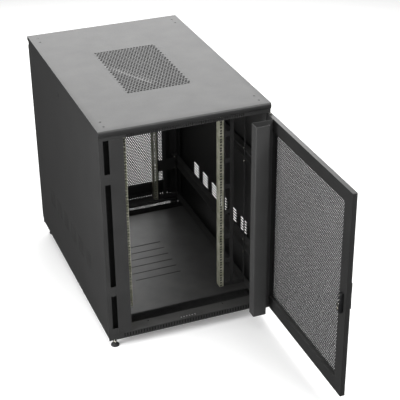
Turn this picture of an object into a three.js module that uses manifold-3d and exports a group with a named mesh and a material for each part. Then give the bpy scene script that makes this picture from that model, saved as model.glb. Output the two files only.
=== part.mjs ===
// Network server rack cabinet, 22 units high, on levelling feet, with perforated front and rear doors.
// Millimetres. X runs from the left side to the right, Y from the front frame to the rear, Z up.
// Inside the cabinet group the corner (0, 0, 0) is the front left lower corner of the base frame.
import * as THREE from 'three';
import { mergeVertices } from 'three/addons/utils/BufferGeometryUtils.js';
import Module from 'manifold-3d';

const wasm = await Module();
wasm.setup();

// overall sizes; the height follows from the rack units between the base and the top rails
const width = 800;
const frameDepth = 1195;
const unit = 44.45;
const units = 22;
const bayMargin = 11.55;       // from the base or the top rails to the ends of the equipment rails
const gap = 0.3;               // running gap between neighbouring pieces
const sheet = 2;               // frame sheet steel
const skin = 1.5;              // panel sheet steel

// base and feet
const baseHeight = 31;
const baseRailDepth = 61;
const sillWidth = 30;
const ventPitch = 13.7;
const ventWidth = 6.5;
const ventHeight = 21;
const ventMargin = 75;
const ledgeHoleX = 210;
const ledgeHoleInset = 11;
const ledgeHoleRadius = 4;
const ledgeSlots = 6;
const ledgeSlotPitch = 14;
const ledgeSlot = [5, 9];
const ledgeSlotY = 18;
const footInset = 38;
const footDrop = 56;
const footRadius = 20;
const footPadHeight = 6;
const footConeHeight = 16;
const footNutHeight = 24;
const footNutRadius = 11;
const studRadius = 6;
const studTop = 9;

// floor pan and its slots; the cable entries are left open before and behind it
const frontEntry = 104;
const rearEntry = 59;
const panSlots = 6;
const panSlotPitch = 62.4;
const panSlotLength = 240;
const panSlotWidth = 5;

// posts, top rails and beams
const panelTray = 12;          // depth of a side panel's folded edges
const postStrip = 21;
const postWeb = 60;
const rearFlange = 60;
const slotGap = 26;            // between the post's strip and the blanking cover
const coverWidth = 65;
const coverReturn = 30;
const tabHeight = 50;
const lowTabHeight = 32;
const middleTabLow = 243;
const topTabDrop = 213;
const topRailHeight = 26;
const topRailDepth = 50;
const combPitch = 10;
const combWidth = 5;
const combHeight = 12;
const combMargin = 130;
const stopHeight = 29;         // the rear base rail's upstand, behind which the rear door shuts
const stopMargin = 1;
const keeperDrop = 14;         // the side rail's lower edge, which the side panel's lock closes behind
const beamLow = 232;
const beamHigh = 730;
const beamHeight = 46;
const beamWidth = 30;

// equipment rails and their brackets
const railOpening = 450;
const railFlange = 21;
const railReturn = 38;
const railFront = 170;
const railRearInset = 68;
const holeSize = 9.5;
const holeOffsets = [6.35, 22.225, 38.1];
const holePitch = 465.1;
const bracketLap = 2.6;        // how far a bracket reaches over the beams
const bracketEdge = 7;
const bracketSlot = 25;
const bracketWeb = 18;
const bracketRows = 7;
const bracketBar = 22;
const rearBarLow = 214;        // the one broad bar across a rear bracket
const rearBarHigh = 286;

// roof
const roofRise = 21;           // roof skin above the top rails
const lipHeight = 29;
const lipBulge = 7;
const grilleWidth = 323;
const grilleLength = 523;
const roofHoleRadius = 5;
// side panels and their locks
const panelLow = 12;
const louvreGroups = 6;
const louvreRows = 6;
const louvrePitch = 128;
const louvreLow = 248;
const louvreStep = 15.5;
const louvreLength = 78;
const louvreSlot = 6;
const sideLockBehindMiddle = 49.5;
const sideLockDrop = 45;
const lockBezel = 13;
const lockSpindle = 4;
const sideCamLength = 50;
const sideCamHalf = 8;
const camSheet = 3;

// doors
const doorClearLow = 5;        // above the base frame
const doorClearHigh = 3;       // below the top rail
const doorThickness = 22;
const doorStandOff = 2;
const doorPastHinge = 5.5;
const hingeInset = 7;
const doorFreeEdge = 2;
const doorBorder = 60;
const doorOpenAngle = Math.PI / 2;
const pinRadius = 3.2;
const pinReach = 30;           // how far a front hinge pin goes into the door
const rearPinReach = 12;
const pinHead = 6;             // how far a pin stands past the door's end
const hingePlate = [1.5, 4];   // a hinge bracket's plate, measured from the door's end
const hingeLeg = 18;
const hingeHalf = 9;
const rearDoorThickness = 18;
const rearBorder = 76;
const rearSideBorder = 93;
const rearMeshLap = 12;

// hinge guard, measured from the hinge axis with the door shut
const guardReach = 66;
const guardDepth = 51;
const guardNear = 56;
const guardStandOff = 38;
const guardFoot = 26;
const guardLip = 14;

// latch
const lockHeight = 478;
const lockBody = [22, 18, 94];
const lockBodyBelow = 20;
const handleHeight = 160;
const handleWidth = 34;
const handleBelow = 28;
const plateThickness = 5;
const hubRadius = 14;
const leverLift = 9;
const leverLength = 122;
const leverWidth = 22;
const leverThickness = 9;
const leverRelief = 2;         // between the lever's back and the plate
const plugRadius = 8;
const plugDrop = 30;
const camLength = 30;
const camWidth = 14;
const spindleRadius = 5;
const rearLockInset = 15;
const rearCamLength = 34;

const railBottom = baseHeight + bayMargin;
const railTop = railBottom + units * unit;
const topRailLow = railTop + bayMargin;
const topRailHigh = topRailLow + topRailHeight;
const height = topRailHigh + roofRise;
const railRear = frameDepth - railRearInset;
const coverLeft = postStrip + slotGap;
const beamLeft = panelTray + 2 * sheet + gap;
const doorLow = baseHeight + doorClearLow;
const doorHigh = topRailLow - doorClearHigh;
const rearPlane = frameDepth + doorStandOff;
const rearDoorFace = rearPlane + rearDoorThickness;

const finish = {
  frame: { color: 0x3f4042, roughness: 0.55, metalness: 0.1 },
  panel: { color: 0x3a3b3d, roughness: 0.6, metalness: 0.1 },
  zinc: { color: 0x96968a, roughness: 0.4, metalness: 0.9 },
  mesh: { color: 0x2c2d2f, roughness: 0.55, metalness: 0.2 },
  plastic: { color: 0x17181a, roughness: 0.4, metalness: 0 },
  steel: { color: 0xb4b6b8, roughness: 0.3, metalness: 1 },
};

// ---- solids -------------------------------------------------------------

function toSolid(geometry) {
  const bare = geometry.clone();
  bare.deleteAttribute('normal');
  bare.deleteAttribute('uv');
  const merged = mergeVertices(bare, 1e-4);
  return new wasm.Manifold(new wasm.Mesh({
    numProp: 3,
    vertProperties: new Float32Array(merged.attributes.position.array),
    triVerts: new Uint32Array(merged.index.array),
  }));
}

function toGeometry(solid) {
  const mesh = solid.getMesh();
  const geometry = new THREE.BufferGeometry();
  geometry.setAttribute('position', new THREE.BufferAttribute(mesh.vertProperties, 3));
  geometry.setIndex(new THREE.BufferAttribute(mesh.triVerts, 1));
  geometry.computeVertexNormals();
  return geometry;
}

function block(x0, y0, z0, x1, y1, z1) {
  const geometry = new THREE.BoxGeometry(x1 - x0, y1 - y0, z1 - z0);
  return toSolid(geometry.translate((x0 + x1) / 2, (y0 + y1) / 2, (z0 + z1) / 2));
}

function outline(points) {
  return new THREE.Shape(points.map(([x, y]) => new THREE.Vector2(x, y)));
}

// a plan outline in X and Y, raised from z0 to z1
function upright(points, z0, z1) {
  const geometry = new THREE.ExtrudeGeometry(outline(points), { depth: z1 - z0, bevelEnabled: false });
  return toSolid(geometry.translate(0, 0, z0));
}

// a section in Y and Z, run along X
function alongX(points, x0, x1) {
  const geometry = new THREE.ExtrudeGeometry(outline(points), { depth: x1 - x0, bevelEnabled: false });
  geometry.applyMatrix4(new THREE.Matrix4().set(0, 0, 1, 0, 1, 0, 0, 0, 0, 1, 0, 0, 0, 0, 0, 1));
  return toSolid(geometry.translate(x0, 0, 0));
}

// a section in X and Z, run along Y
function alongY(points, y0, y1) {
  const geometry = new THREE.ExtrudeGeometry(outline(points), { depth: y1 - y0, bevelEnabled: false });
  geometry.rotateX(Math.PI / 2);
  return toSolid(geometry.translate(0, y1, 0));
}

// a round bar from a to b along one axis
function rod(axis, radius, a, b, u, v, sides = 20) {
  const geometry = new THREE.CylinderGeometry(radius, radius, b - a, sides);
  const middle = (a + b) / 2;
  if (axis === 'x') return toSolid(geometry.rotateZ(-Math.PI / 2).translate(middle, u, v));
  if (axis === 'y') return toSolid(geometry.translate(u, middle, v));
  return toSolid(geometry.rotateX(Math.PI / 2).translate(u, v, middle));
}

function joined(parts) {
  return parts.reduce((whole, part) => whole.add(part));
}

function without(body, cuts) {
  return cuts.length ? body.subtract(joined(cuts)) : body;
}

function range(count) {
  return Array.from({ length: count }, (_, index) => index);
}

function flipX(solid) {
  return solid.mirror([1, 0, 0]).translate([width, 0, 0]);
}

function flipY(solid) {
  return solid.mirror([0, 1, 0]).translate([0, frameDepth, 0]);
}

function add(group, name, solid, look) {
  const mesh = new THREE.Mesh(toGeometry(solid), new THREE.MeshStandardMaterial(finish[look]));
  mesh.name = name;
  group.add(mesh);
}

// ---- base frame -----------------------------------------------------------

// folded cross rail with upright vents in its face; the corner tabs carry the feet, and the rear one
// has an upstand with a second row of vents
function baseCrossRail(stop) {
  const end = baseRailDepth;
  const section = [[0, 0], [sheet, 0], [sheet, baseHeight - sheet], [end - sheet, baseHeight - sheet],
    [end - sheet, baseHeight / 2], [end, baseHeight / 2], [end, baseHeight], [0, baseHeight]];
  const ends = [footInset, width - footInset].map((x) => block(
    x - footInset + gap, sheet / 2, 0, x + footInset - gap, end - sheet - gap, sheet));
  const vents = Math.floor((width - 2 * ventMargin) / ventPitch) + 1;
  const first = width / 2 - (vents - 1) * ventPitch / 2;
  const low = (baseHeight - ventHeight) / 2;
  const cuts = range(vents).map((i) => {
    const x = first + i * ventPitch;
    return block(x - ventWidth / 2, -1, low, x + ventWidth / 2, sheet + 1, low + ventHeight);
  });
  const studs = [footInset, width - footInset].map((x) => rod(
    'z', studRadius + gap, -1, sheet + 1, x, footInset));
  const top = [baseHeight - 2 * sheet, baseHeight + 1];
  const holes = [ledgeHoleX, width - ledgeHoleX].map((x) => rod(
    'z', ledgeHoleRadius, ...top, x, end - ledgeHoleInset, 12));
  const [slotX, slotY] = ledgeSlot;
  const left = (width - (ledgeSlots - 1) * ledgeSlotPitch - slotX) / 2;
  const slots = range(ledgeSlots).map((i) => block(left + i * ledgeSlotPitch, ledgeSlotY - slotY / 2, top[0],
    left + i * ledgeSlotPitch + slotX, ledgeSlotY + slotY / 2, top[1]));
  const parts = [alongX(section, 0, width), ...ends];
  if (stop) {
    const side = rearFlange + stopMargin;
    parts.push(block(side, 0, baseHeight - 1, width - side, sheet, baseHeight + stopHeight));
    cuts.push(...range(vents).map((i) => {
      const x = first + i * ventPitch;
      return block(x - ventWidth / 2, -1, baseHeight + low,
        x + ventWidth / 2, sheet + 1, baseHeight + ventHeight);
    }));
  }
  return without(joined(parts), [...cuts, ...studs, ...holes, ...slots, ...panelRelief(-1, baseHeight + 1)]);
}

// the side panels lie outside everything behind a cross rail's face
function panelRelief(low, high) {
  const inset = panelTray + sheet;
  const ends = [[-1, inset], [width - inset, width + 1]];
  return ends.map(([x0, x1]) => block(x0, sheet, low, x1, baseRailDepth + 1, high));
}

function baseSill() {
  const left = panelTray + sheet;
  const right = left + sillWidth;
  const section = [[left, 0], [left + sheet, 0], [left + sheet, baseHeight - sheet],
    [right, baseHeight - sheet], [right, baseHeight], [left, baseHeight]];
  return alongY(section, baseRailDepth + gap, frameDepth - baseRailDepth - gap);
}

// flat floor pan with a row of cable and air slots
function bottomPanel() {
  const front = baseRailDepth + frontEntry;
  const rear = frameDepth - baseRailDepth - rearEntry;
  const pan = block(beamLeft, front, 0, width - beamLeft, rear, skin);
  const first = frameDepth / 2 - (panSlots - 1) * panSlotPitch / 2;
  return without(pan, range(panSlots).map((i) => {
    const y = first + i * panSlotPitch;
    return block((width - panSlotLength) / 2, y - panSlotWidth / 2, -1,
      (width + panSlotLength) / 2, y + panSlotWidth / 2, skin + 1);
  }));
}

// levelling foot: round pad, cone and threaded stud, turned in one piece
function levellingFoot() {
  const profile = [[0, -footDrop], [footRadius, -footDrop], [footRadius, -footDrop + footPadHeight],
    [footNutRadius, -footDrop + footConeHeight], [footNutRadius, -footDrop + footNutHeight],
    [studRadius, -footDrop + footNutHeight], [studRadius, studTop], [0, studTop]];
  const turned = new THREE.LatheGeometry(profile.map(([r, z]) => new THREE.Vector2(r, z)), 16);
  return toSolid(turned.rotateX(Math.PI / 2));
}

// ---- posts, top frame and beams -------------------------------------------

// front post: narrow front strip, web behind the side panel's edge, tabs that reach the cover
function frontPost(tabs) {
  const web = panelTray + sheet;
  const section = [[gap, 0], [postStrip, 0], [postStrip, sheet], [web + sheet, sheet],
    [web + sheet, postWeb], [web, postWeb], [web, sheet], [gap, sheet]];
  const post = upright(section, baseHeight + gap, topRailLow - gap);
  const reach = tabs.map(([low, high]) => block(postStrip - 1, 0, low, coverLeft - gap, sheet, high));
  return joined([post, ...reach]);
}

function rearPost() {
  const web = panelTray + sheet;
  const face = frameDepth - sheet;
  const end = frameDepth - postWeb;
  const section = [[gap, face], [web, face], [web, end], [web + sheet, end],
    [web + sheet, face], [rearFlange, face], [rearFlange, frameDepth], [gap, frameDepth]];
  return upright(section, baseHeight + gap, topRailLow - gap);
}

// blanking cover between the left slot and the rail; the latch closes behind it
function frontCover() {
  const right = coverLeft + coverWidth;
  const section = [[coverLeft, 0], [right, 0], [right, coverReturn], [right - skin, coverReturn],
    [right - skin, skin], [coverLeft, skin]];
  return upright(section, baseHeight + gap, topRailLow - gap);
}

// flat plate that closes the space behind the left slot; the latch turns in front of it
function slotBacking() {
  const face = coverReturn + gap;
  return block(panelTray + 2 * sheet + gap, face, baseHeight + gap,
    coverLeft + coverWidth, face + skin, topRailLow - gap);
}

function topCrossRail(vented) {
  const section = [[0, topRailLow], [topRailDepth / 2, topRailLow], [topRailDepth / 2, topRailLow + sheet],
    [sheet, topRailLow + sheet], [sheet, topRailHigh - sheet], [topRailDepth, topRailHigh - sheet],
    [topRailDepth, topRailHigh], [0, topRailHigh]];
  const count = vented ? Math.floor((width - 2 * combMargin) / combPitch) + 1 : 0;
  const first = width / 2 - (count - 1) * combPitch / 2;
  const low = topRailLow + sheet + 1;
  const cuts = range(count).map((i) => {
    const x = first + i * combPitch;
    return block(x - combWidth / 2, -1, low, x + combWidth / 2, sheet + 1, low + combHeight);
  });
  return without(alongX(section, 0, width), [...cuts, ...panelRelief(topRailLow - 1, topRailHigh + 1)]);
}

// flat bar along the side; the side panel's lock closes behind its lower edge
function topSideRail() {
  const left = panelTray + sheet;
  const low = topRailLow - keeperDrop;
  return block(left, postWeb + gap, low, left + sheet, frameDepth - postWeb - gap, topRailHigh);
}

// channel between a front and a rear post; the rail brackets bolt to it
function depthBeam(low) {
  const left = beamLeft;
  const right = left + beamWidth;
  const high = low + beamHeight;
  const section = [[left, low], [right, low], [right, low + sheet], [left + sheet, low + sheet],
    [left + sheet, high - sheet], [right, high - sheet], [right, high], [left, high]];
  return alongY(section, coverReturn + skin + 2 * gap, frameDepth - sheet - gap);
}

// ---- equipment rails and their brackets ------------------------------------

// right rail: punched flange with a return on the opening side
function equipmentRail(front) {
  const inner = (width + railOpening) / 2;
  const face = front ? railFront : railRear;
  const back = face + sheet;
  const end = face + railReturn;
  const section = [[inner, face], [inner + railFlange, face], [inner + railFlange, back],
    [inner + sheet, back], [inner + sheet, end], [inner, end]];
  const rail = upright(section, railBottom, railTop);
  const x = (width + holePitch) / 2;
  const cuts = range(units).flatMap((u) => holeOffsets.map((offset) => {
    const z = railBottom + u * unit + offset;
    return block(x - holeSize / 2, face - 1, z - holeSize / 2, x + holeSize / 2, back + 1, z + holeSize / 2);
  }));
  return without(rail, cuts);
}

// perforated bracket plate from a rail to the depth beams, with cable openings
function railBracket(front) {
  const left = (width + railOpening) / 2 + railFlange + gap;
  const beamEdge = width - beamLeft - beamWidth;
  const right = beamEdge + bracketLap;
  const face = front ? railFront : railRear;
  const plate = block(left, face, railBottom, right, face + sheet, railTop);
  const pitch = (railTop - railBottom - bracketBar) / bracketRows;
  const beams = [beamLow, beamHigh].map((low) => block(beamEdge - gap, face - 1,
    low - gap, width, face + sheet + 1, low + beamHeight + gap));
  const slotRight = left + bracketEdge + bracketSlot;
  const columns = [[left + bracketEdge, slotRight], [slotRight + bracketWeb, right - bracketEdge]];
  const evenRows = range(bracketRows).map((i) => {
    const low = railBottom + bracketBar + i * pitch;
    return [low, low + pitch - bracketBar];
  });
  const tallRows = [[railBottom + bracketBar, rearBarLow], [rearBarHigh, railTop - bracketBar]];
  const openColumn = [[railBottom + bracketBar, railTop - bracketBar]];
  const rows = front ? [evenRows, openColumn] : [tallRows, tallRows];
  const cuts = columns.flatMap(([x0, x1], column) => rows[column].map(
    ([z0, z1]) => block(x0, face - 1, z0, x1, face + sheet + 1, z1)));
  return without(plate, [...cuts, ...beams]);
}

// ---- roof -------------------------------------------------------------------

const roofHoleX = 40;
const roofHoleY = [40, 91];

function roofPanel() {
  const lipLow = height - lipHeight;
  const rearEnd = rearDoorFace;
  const steps = 8;
  const arc = range(steps + 1).map((i) => {
    const turn = Math.PI * i / steps;
    return [-gap - skin - lipBulge * Math.sin(turn), lipLow + lipHeight * (1 - Math.cos(turn)) / 2];
  });
  const section = [[-gap, lipLow], ...arc, [rearEnd, height], [rearEnd, topRailHigh],
    [rearEnd - skin, topRailHigh], [rearEnd - skin, height - skin], [-gap, height - skin]];
  const top = alongX(section, 0, width);
  const lips = [0, width - skin].map((x) => block(
    x, -2 * gap, topRailHigh + gap, x + skin, rearEnd - skin / 2, height - skin / 2));
  const x = width / 2;
  const y = frameDepth / 2;
  const opening = block(x - grilleWidth / 2 - gap, y - grilleLength / 2 - gap, height - 2 * skin,
    x + grilleWidth / 2 + gap, y + grilleLength / 2 + gap, height + 1);
  const rows = [...roofHoleY, ...roofHoleY.map((inset) => frameDepth - inset)];
  const screws = [roofHoleX, width - roofHoleX].flatMap((hx) => rows.map(
    (hy) => rod('z', roofHoleRadius, height - 2 * skin, height + 1, hx, hy, 12)));
  return without(joined([top, ...lips]), [opening, ...screws]);
}

function roofGrille() {
  const x = width / 2;
  const y = frameDepth / 2;
  return block(x - grilleWidth / 2, y - grilleLength / 2, height - skin,
    x + grilleWidth / 2, y + grilleLength / 2, height);
}

// ---- side panels --------------------------------------------------------------

const panelHigh = topRailHigh - gap;
const sideLockY = frameDepth / 2 + sideLockBehindMiddle;
const sideLockZ = topRailLow - sideLockDrop;

function sidePanel() {
  const front = sheet + gap;
  const rear = frameDepth - sheet - gap;
  const skinPlate = block(0, front, panelLow, skin, rear, panelHigh);
  const folds = [
    block(0, front, panelLow, panelTray, front + skin, panelHigh),
    block(0, rear - skin, panelLow, panelTray, rear, panelHigh),
    block(0, front, panelHigh - skin, panelTray, rear, panelHigh),
    block(0, front, panelLow, panelTray, rear, panelLow + skin),
  ];
  const first = frameDepth / 2 - (louvreGroups - 1) * louvrePitch / 2;
  const louvres = range(louvreGroups).flatMap((g) => range(louvreRows).map((r) => {
    const y = first + g * louvrePitch;
    const z = louvreLow + r * louvreStep;
    return block(-1, y - louvreLength / 2, z, skin + 1, y + louvreLength / 2, z + louvreSlot);
  }));
  const hole = rod('x', lockBezel + gap, -1, skin + 1, sideLockY, sideLockZ, 16);
  return without(joined([skinPlate, ...folds]), [...louvres, hole]);
}

// quarter-turn lock: round head in the panel, spindle and cam behind it
function sideLock() {
  const behind = beamLeft + gap;
  const head = rod('x', lockBezel, gap, panelTray / 2, sideLockY, sideLockZ, 16);
  const spindle = rod('x', lockSpindle, panelTray / 2 - 1, behind + 1, sideLockY, sideLockZ, 12);
  const cam = block(behind, sideLockY - sideCamHalf, sideLockZ - sideCamHalf,
    behind + camSheet, sideLockY + sideCamLength, sideLockZ + sideCamHalf);
  return joined([head, spindle, cam]);
}

// ---- front door: drawn shut about its hinge axis, then swung open by its group ----

const hingeX = width - hingeInset;
const hingeY = -doorStandOff - doorThickness / 2;
const doorHinged = doorPastHinge;
const doorFree = -(hingeX - doorFreeEdge);
const outer = -doorThickness / 2;
const inner = doorThickness / 2;

function tube(x0, y0, z0, x1, y1, z1, along) {
  const wall = skin;
  const hollow = along === 'z'
    ? block(x0 + wall, y0 + wall, z0 - 1, x1 - wall, y1 - wall, z1 + 1)
    : block(x0 - 1, y0 + wall, z0 + wall, x1 + 1, y1 - wall, z1 - wall);
  return block(x0, y0, z0, x1, y1, z1).subtract(hollow);
}

function doorMesh() {
  const x0 = doorFree + doorBorder + gap;
  const x1 = doorHinged - doorBorder - gap;
  const inset = doorBorder + gap;
  return block(x0, outer + skin, doorLow + inset, x1, outer + 2 * skin, doorHigh - inset);
}

// folded guard on the hinge side: it fills the gap beside the right rail when the door is shut
function hingeGuard() {
  const near = -guardNear;
  const far = near - guardDepth;
  const low = inner + guardStandOff;
  const high = low + guardReach;
  const foot = inner + gap;
  const section = [[near + guardFoot, foot], [near + guardFoot, foot + skin], [near, foot + skin],
    [near, high], [far, high], [far, low], [far + guardLip, low], [far + guardLip, low + skin],
    [far + skin, low + skin], [far + skin, high - skin], [near - skin, high - skin], [near - skin, foot]];
  return upright(section, doorLow, doorHigh);
}

function platePlace(top) {
  const [near, far] = hingePlate;
  return top ? [doorHigh + near, doorHigh + far] : [doorLow - far, doorLow - near];
}

// hinge bracket on the frame with the pin hole over the door's end
function hingeBracket(top) {
  const plate = platePlace(top);
  const leg = top ? [plate[0], plate[0] + hingeLeg] : [plate[0] - hingeLeg, plate[1]];
  const right = hingeX + doorPastHinge + 1;
  const body = joined([
    block(hingeX - hingeHalf, hingeY - hingeHalf, plate[0], right, -gap, plate[1]),
    block(hingeX - hingeHalf, -gap - sheet, leg[0], right, -gap, leg[1]),
  ]);
  return without(body, [rod('z', pinRadius + gap, plate[0] - 1, plate[1] + 1, hingeX, hingeY, 16)]);
}

function hingePin(x, y, low, high) {
  return rod('z', pinRadius, low, high, x, y, 16);
}

// ---- latch: measured from the hinge axis with the door shut --------------------

const lockX = -(hingeX - postStrip - slotGap / 2);
const plateFace = outer - gap - plateThickness;
const leverBack = plateFace - 2 * gap - leverRelief;
const plugZ = lockHeight + leverLength - plugDrop;

function handleBase() {
  const low = lockHeight - handleBelow;
  const plate = block(lockX - handleWidth / 2, plateFace, low,
    lockX + handleWidth / 2, outer - gap, low + handleHeight);
  return without(plate, [rod('y', spindleRadius + 1, outer - 20, 0, lockX, lockHeight, 16)]);
}

function latchHub() {
  const face = plateFace - gap;
  const head = rod('y', hubRadius, face - leverLift, face, lockX, lockHeight, 20);
  const end = inner + lockBody[1] + 2 * camSheet;
  const spindle = rod('y', spindleRadius, face - 1, end, lockX, lockHeight, 12);
  const slot = block(lockX - leverWidth / 2 - gap, face - leverLift - 1, lockHeight - hubRadius - 1,
    lockX + leverWidth / 2 + gap, face - 2, lockHeight + hubRadius + 1);
  return without(joined([head, spindle]), [slot]);
}

function latchLever() {
  const back = leverBack;
  const front = back - leverThickness;
  const low = lockHeight - 4;
  const section = [[back, low], [back, low + leverLength], [front + 3, low + leverLength],
    [front, low + leverLength - 14], [front, low + 10], [front + 3, low]];
  const bar = alongX(section, lockX - leverWidth / 2, lockX + leverWidth / 2);
  const bore = rod('y', plugRadius + gap, front - 1, back + 1, lockX, plugZ, 16);
  return without(bar, [bore]);
}

function keyCylinder() {
  const front = leverBack - leverThickness - gap;
  const half = plugRadius / 2;
  const plug = rod('y', plugRadius, front, leverBack, lockX, plugZ, 16);
  return without(plug, [block(lockX - 1, front - 1, plugZ - half, lockX + 1, front + half, plugZ + half)]);
}

function lockCase() {
  const [w, d, h] = lockBody;
  const low = lockHeight - lockBodyBelow;
  const casing = block(lockX - w / 2, inner + gap, low, lockX + w / 2, inner + gap + d, low + h);
  return without(casing, [rod('y', spindleRadius + gap, inner - 1, inner + d + 1, lockX, lockHeight, 12)]);
}

function latchCam() {
  const near = inner + lockBody[1] + 2 * gap;
  const cam = block(lockX - camWidth / 2, near, lockHeight - camWidth / 2,
    lockX + camWidth / 2, near + camSheet, lockHeight + camLength);
  return without(cam, [rod('y', spindleRadius + gap, near - 1, near + camSheet + 1, lockX, lockHeight, 12)]);
}

// ---- rear door: hinged at the left, shut -----------------------------------------

const rearHingeX = doorFreeEdge + doorPastHinge;
const rearHingeY = rearPlane + rearDoorThickness / 2;
const rearLockX = width - rearFlange - rearLockInset;
const rearLockZ = lockHeight;

function rearDoorFrame() {
  const y0 = rearPlane;
  const y1 = rearDoorFace;
  const x0 = doorFreeEdge;
  const x1 = width - doorFreeEdge;
  const tray = block(x0, y0, doorLow, x1, y1, doorHigh);
  const inside = block(x0 + skin, y0 - 1, doorLow + skin, x1 - skin, y1 - skin, doorHigh - skin);
  const window = block(x0 + rearSideBorder, y0 - 2, doorLow + rearBorder,
    x1 - rearSideBorder, y1 + 1, doorHigh - rearBorder);
  const lock = rod('y', lockBezel + gap, y1 - 2 * skin, y1 + 1, rearLockX, rearLockZ, 16);
  const ears = [doorLow, doorHigh - skin].map((z) => rod(
    'z', pinRadius + gap, z - 1, z + skin + 1, rearHingeX, rearHingeY, 16));
  return without(tray, [inside, window, lock, ...ears]);
}

function rearDoorMesh() {
  const y = rearDoorFace - 2 * skin - gap;
  const side = doorFreeEdge + rearSideBorder - rearMeshLap;
  return block(side, y, doorLow + rearBorder - rearMeshLap,
    width - side, y + skin, doorHigh - rearBorder + rearMeshLap);
}

function rearLock() {
  const out = rearDoorFace;
  const half = camWidth / 2;
  const camFace = rearPlane - 3 * camSheet;
  const head = rod('y', lockBezel, out - skin, out - gap, rearLockX, rearLockZ, 16);
  const spindle = rod('y', spindleRadius, camFace - 1, out - skin / 2, rearLockX, rearLockZ, 12);
  const cam = block(rearLockX - half, camFace, rearLockZ - half,
    rearLockX + half, camFace + camSheet, rearLockZ + rearCamLength);
  return joined([head, spindle, cam]);
}

function rearBracket(top) {
  const plate = platePlace(top);
  const leg = top ? [plate[0], plate[0] + hingeLeg] : [plate[0] - hingeLeg, plate[1]];
  const right = rearHingeX + hingeHalf;
  const y = frameDepth + gap;
  const body = joined([
    block(gap, y, plate[0], right, rearHingeY + 2 * pinRadius, plate[1]),
    block(gap, y, leg[0], right, y + skin, leg[1]),
  ]);
  return without(body, [rod('z', pinRadius + gap, plate[0] - 1, plate[1] + 1, rearHingeX, rearHingeY, 16)]);
}

// ---- assembly -----------------------------------------------------------------------

const rack = new THREE.Group();
const cabinet = new THREE.Group();
cabinet.position.set(-width / 2, -frameDepth / 2, 0);
rack.add(cabinet);

add(cabinet, 'base_front_rail', baseCrossRail(false), 'frame');
add(cabinet, 'base_rear_rail', flipY(baseCrossRail(true)), 'frame');
add(cabinet, 'base_left_sill', baseSill(), 'frame');
add(cabinet, 'base_right_sill', flipX(baseSill()), 'frame');
add(cabinet, 'bottom_panel', bottomPanel(), 'frame');
const tabs = [[baseHeight + gap, baseHeight + gap + lowTabHeight], [middleTabLow, middleTabLow + tabHeight],
  [topRailLow - topTabDrop, topRailLow - topTabDrop + tabHeight]];
add(cabinet, 'front_left_post', frontPost(tabs), 'frame');
add(cabinet, 'front_right_post', flipX(frontPost([])), 'frame');
add(cabinet, 'rear_left_post', rearPost(), 'frame');
add(cabinet, 'rear_right_post', flipX(rearPost()), 'frame');
add(cabinet, 'front_left_cover', frontCover(), 'frame');
add(cabinet, 'left_slot_backing', slotBacking(), 'frame');
add(cabinet, 'top_front_rail', topCrossRail(true), 'frame');
add(cabinet, 'top_rear_rail', flipY(topCrossRail(false)), 'frame');
add(cabinet, 'top_left_rail', topSideRail(), 'frame');
add(cabinet, 'top_right_rail', flipX(topSideRail()), 'frame');
for (const [label, low] of [['lower', beamLow], ['upper', beamHigh]]) {
  add(cabinet, `left_${label}_beam`, depthBeam(low), 'frame');
  add(cabinet, `right_${label}_beam`, flipX(depthBeam(low)), 'frame');
}
for (const end of ['front', 'rear']) {
  add(cabinet, `${end}_right_rail`, equipmentRail(end === 'front'), 'zinc');
  add(cabinet, `${end}_left_rail`, flipX(equipmentRail(end === 'front')), 'zinc');
  add(cabinet, `${end}_right_bracket`, railBracket(end === 'front'), 'frame');
  add(cabinet, `${end}_left_bracket`, flipX(railBracket(end === 'front')), 'frame');
}
add(cabinet, 'roof_panel', roofPanel(), 'panel');
add(cabinet, 'roof_grille', roofGrille(), 'mesh');
add(cabinet, 'left_side_panel', sidePanel(), 'panel');
add(cabinet, 'right_side_panel', flipX(sidePanel()), 'panel');
add(cabinet, 'left_panel_lock', sideLock(), 'plastic');
add(cabinet, 'right_panel_lock', flipX(sideLock()), 'plastic');

for (const [side, x] of [['left', footInset], ['right', width - footInset]]) {
  for (const [end, y] of [['front', footInset], ['rear', frameDepth - footInset]]) {
    add(cabinet, `${end}_${side}_foot`, levellingFoot().translate([x, y, 0]), 'plastic');
  }
}

for (const [level, top] of [['upper', true], ['lower', false]]) {
  const upperPin = (reach) => [doorHigh - reach, doorHigh + pinHead];
  const lowerPin = (reach) => [doorLow - pinHead, doorLow + reach];
  const pin = top ? upperPin : lowerPin;
  add(cabinet, `front_${level}_hinge_bracket`, hingeBracket(top), 'frame');
  add(cabinet, `front_${level}_hinge_pin`, hingePin(hingeX, hingeY, ...pin(pinReach)), 'steel');
  add(cabinet, `rear_${level}_hinge_bracket`, rearBracket(top), 'frame');
  add(cabinet, `rear_${level}_hinge_pin`, hingePin(rearHingeX, rearHingeY, ...pin(rearPinReach)), 'steel');
}

const door = new THREE.Group();
door.position.set(hingeX, hingeY, 0);
door.rotation.z = doorOpenAngle;
cabinet.add(door);
const stileIn = doorHinged - doorBorder;
add(door, 'front_door_hinge_stile',
  tube(stileIn, outer, doorLow, doorHinged, inner, doorHigh, 'z'), 'panel');
add(door, 'front_door_lock_stile',
  tube(doorFree, outer, doorLow, doorFree + doorBorder, inner, doorHigh, 'z')
  .subtract(rod('y', spindleRadius + 1, outer - 2, inner + 2, lockX, lockHeight, 12)), 'panel');
add(door, 'front_door_bottom_rail', tube(doorFree + doorBorder + gap, outer, doorLow,
  stileIn - gap, inner, doorLow + doorBorder, 'x'), 'panel');
add(door, 'front_door_top_rail', tube(doorFree + doorBorder + gap, outer, doorHigh - doorBorder,
  stileIn - gap, inner, doorHigh, 'x'), 'panel');
add(door, 'front_door_mesh', doorMesh(), 'mesh');
add(door, 'hinge_guard', hingeGuard(), 'panel');
add(door, 'handle_base', handleBase(), 'plastic');
add(door, 'handle_hub', latchHub(), 'plastic');
add(door, 'handle_lever', latchLever(), 'plastic');
add(door, 'key_cylinder', keyCylinder(), 'steel');
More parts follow.
